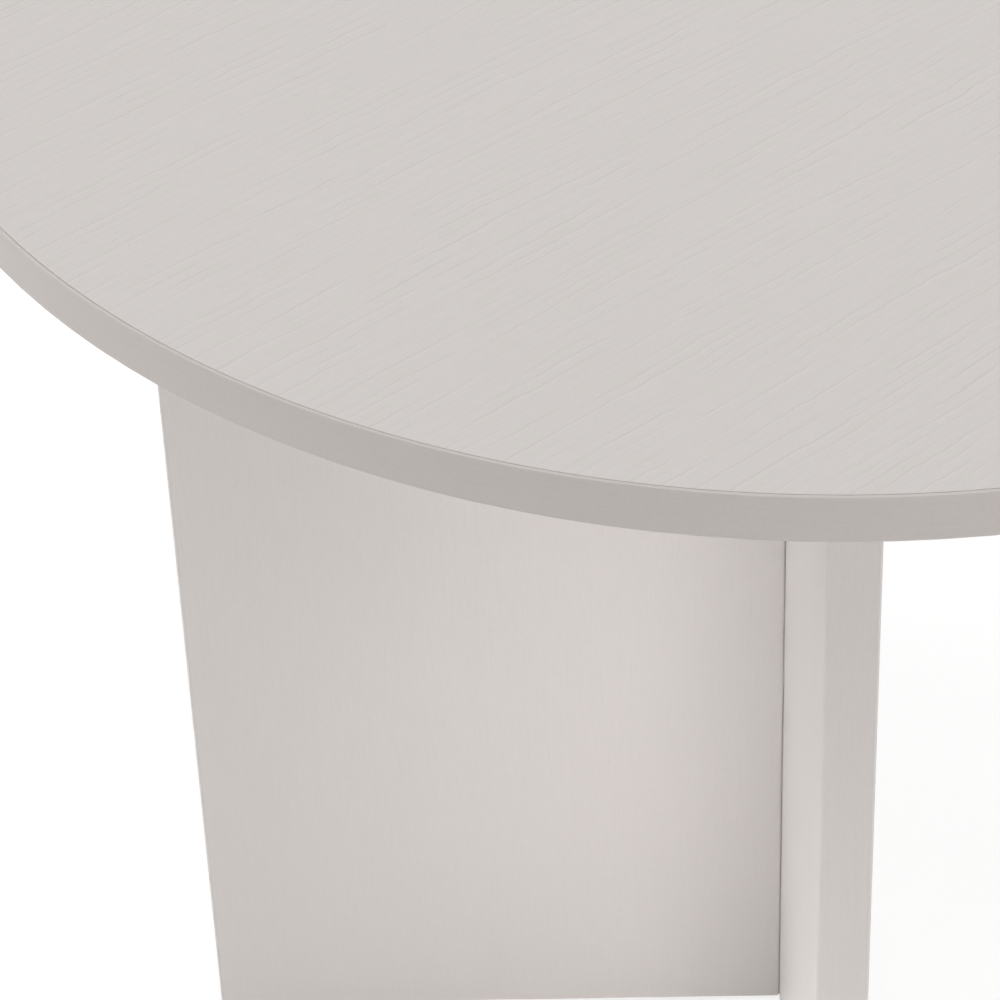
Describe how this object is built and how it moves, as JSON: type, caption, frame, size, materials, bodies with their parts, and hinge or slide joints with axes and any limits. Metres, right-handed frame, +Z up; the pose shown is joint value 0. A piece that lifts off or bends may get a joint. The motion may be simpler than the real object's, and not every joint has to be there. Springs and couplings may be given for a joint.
{
  "type": "gateleg table",
  "caption": "Round gateleg table: a fold-over leaf hinged to a fixed top, carried by a swinging gate beside a spine panel and a fixed wing panel.",
  "frame": {"origin": "on the floor under the middle of the open round top", "axes": "+Z up, spine panel along Y, fixed wing towards -X, open gate and leaf towards +X"},
  "size_m": [0.8999, 0.8998, 0.7432],
  "materials": {
    "laminated_board": "matt cashmere laminate with a faint embossed grain",
    "edge_band": "matt edge band in the laminate's colour",
    "hinge_steel": "satin nickel",
    "zinc_steel": "zinc plated",
    "screw_steel": "nickel plated",
    "beech": "bare beech",
    "cap_plastic": "matt moulded plastic",
    "glide_plastic": "moulded plastic",
    "catch_plastic": "moulded plastic",
    "felt": "needled felt"
  },
  "bodies": {
    "root": {"main_top": "laminated_board", "main_top_rim_band": "edge_band", "main_top_joint_strip": "edge_band", "spine_panel": "laminated_board", "spine_end_bands": "edge_band", "wing_panel": "laminated_board", "wing_end_band": "edge_band", "wing_dowels": "beech", "wing_connector_screws": "screw_steel", "connector_cover_caps": "cap_plastic", "top_brackets": "zinc_steel", "top_bracket_screws": "screw_steel", "base_glides": "glide_plastic", "gate_stop_block": "beech", "gate_stop_screws": "screw_steel", "gate_hinge_fixed_plates": "hinge_steel", "gate_hinge_fixed_screws": "screw_steel", "gate_hinge_pins": "hinge_steel", "leaf_hinge_fixed_plates": "hinge_steel", "leaf_hinge_fixed_screws": "screw_steel", "leaf_hinge_pins": "hinge_steel", "gate_catch_magnet": "catch_plastic", "gate_catch_screws": "screw_steel"},
    "gate": {"gate_hinge_stile": "laminated_board", "gate_top_rail": "laminated_board", "gate_lower_rail": "laminated_board", "gate_leg": "laminated_board", "gate_leg_band": "edge_band", "gate_dowels": "beech", "gate_bearing_pad": "felt", "gate_glide": "glide_plastic", "gate_hinge_moving_plates": "hinge_steel", "gate_hinge_moving_screws": "screw_steel", "gate_catch_strike": "zinc_steel", "gate_strike_screws": "screw_steel"},
    "leaf": {"leaf_top": "laminated_board", "leaf_rim_band": "edge_band", "leaf_joint_strip": "edge_band", "leaf_hinge_moving_plates": "hinge_steel", "leaf_hinge_moving_screws": "screw_steel"}
  },
  "joints": [
    {"name": "gate_swing", "type": "hinge", "parent": "root", "child": "gate", "pos_m": [0.0155, 0.0155, 0.38], "axis": [0, 0, 1], "range_deg": [0, 90]},
    {"name": "leaf_fold", "type": "hinge", "parent": "root", "child": "leaf", "pos_m": [0.125, 0, 0.74025], "axis": [0, -1, 0], "range_deg": [0, 180]}
  ]
}
